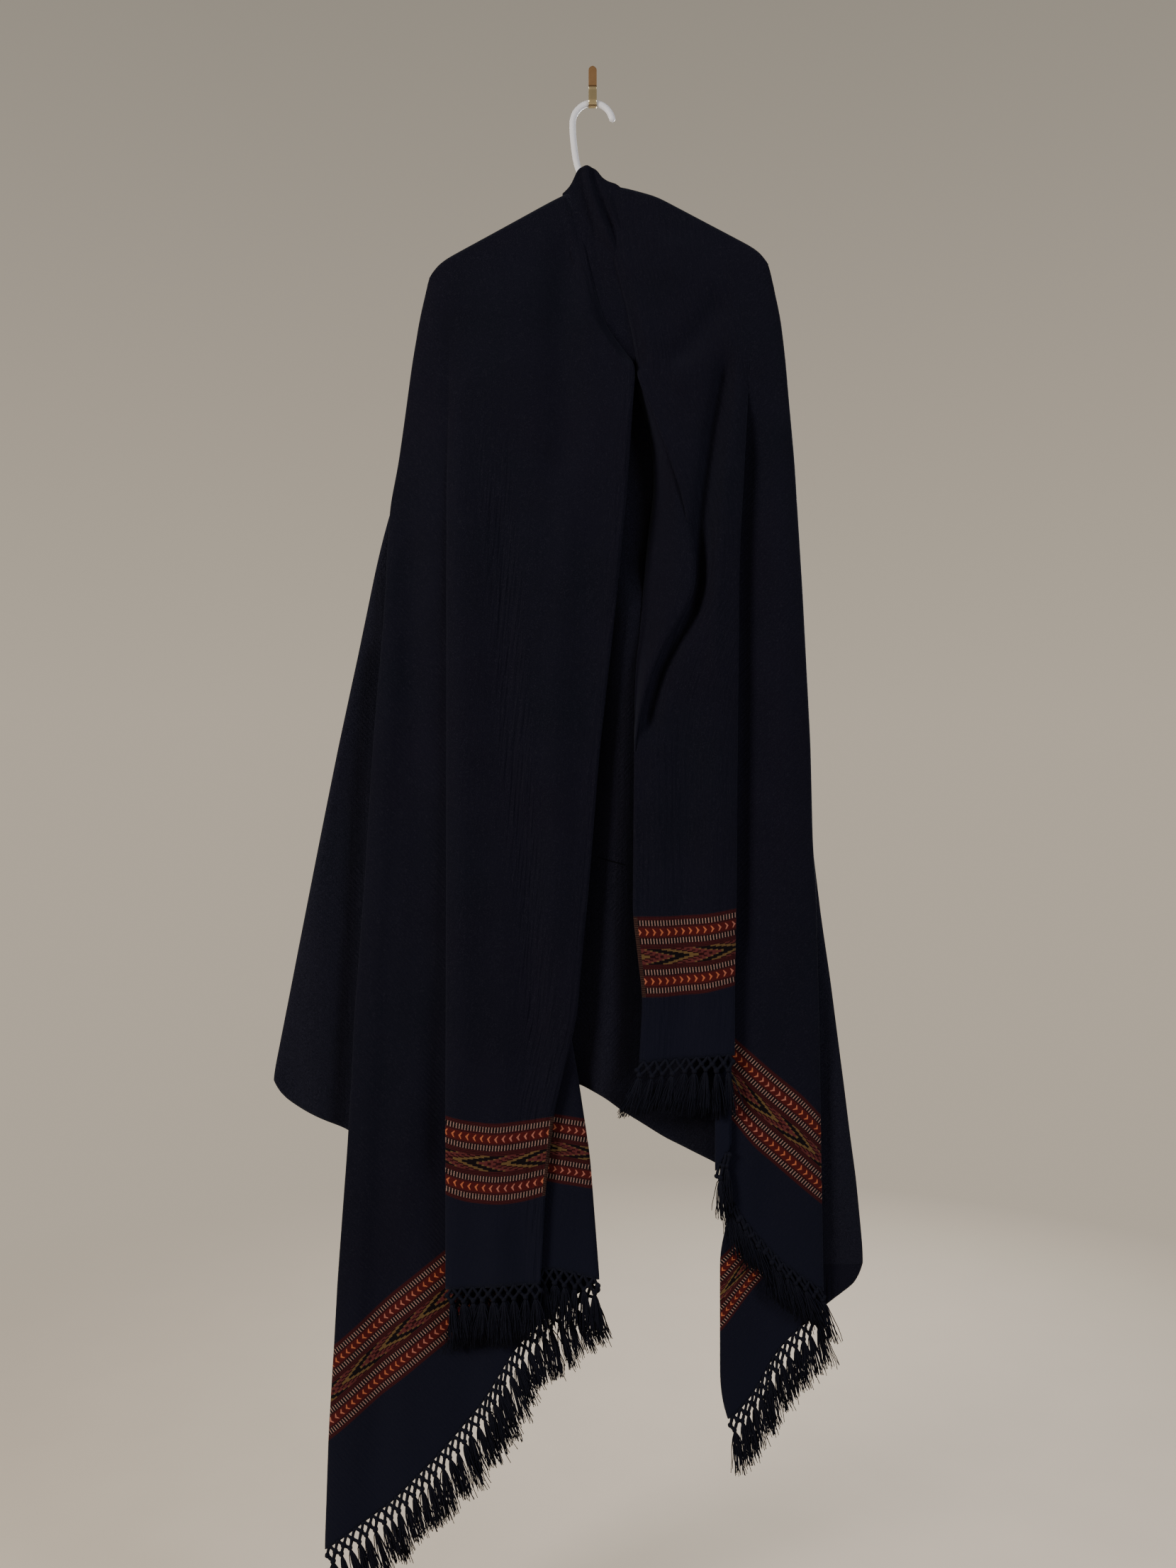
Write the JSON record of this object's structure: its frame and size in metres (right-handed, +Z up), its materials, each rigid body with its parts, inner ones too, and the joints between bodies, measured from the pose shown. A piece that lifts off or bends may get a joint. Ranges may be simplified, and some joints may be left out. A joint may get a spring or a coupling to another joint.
{
  "type": "wool shawl on a hanger and wall hook",
  "caption": "Dark navy wool shawl with woven red and gold end bands and knotted fringe, hung open on a white plastic hanger from a small brass wall hook.",
  "frame": {"origin": "on the back face of the wall hook's plate, where it lies on the wall", "axes": "+X to the viewer's right, +Y into the wall, +Z up; the cloth hangs at y below zero"},
  "size_m": [0.7827, 0.055, 2.0466],
  "materials": {
    "wool": "matte brushed weave with woven bands",
    "tassel_wool": "matte knotted yarn",
    "white_plastic": "gloss",
    "brass": "satin"
  },
  "bodies": {
    "root": {"wall_hook": "brass", "hanger_hook": "white_plastic", "hanger_arm_left": "white_plastic", "hanger_arm_right": "white_plastic", "hanger_bar": "white_plastic", "back_panel": "wool", "neck_gather": "wool", "left_front": "wool", "left_return": "wool", "left_middle": "wool", "left_under": "wool", "left_side": "wool", "right_front": "wool", "right_lapel": "wool", "right_return": "wool", "right_middle": "wool", "right_under": "wool", "right_side": "wool", "left_front_fringe": "tassel_wool", "left_return_fringe": "tassel_wool", "left_middle_fringe": "tassel_wool", "right_front_fringe": "tassel_wool", "right_return_fringe": "tassel_wool", "right_middle_fringe": "tassel_wool", "right_under_fringe": "tassel_wool"}
  },
  "joints": []
}
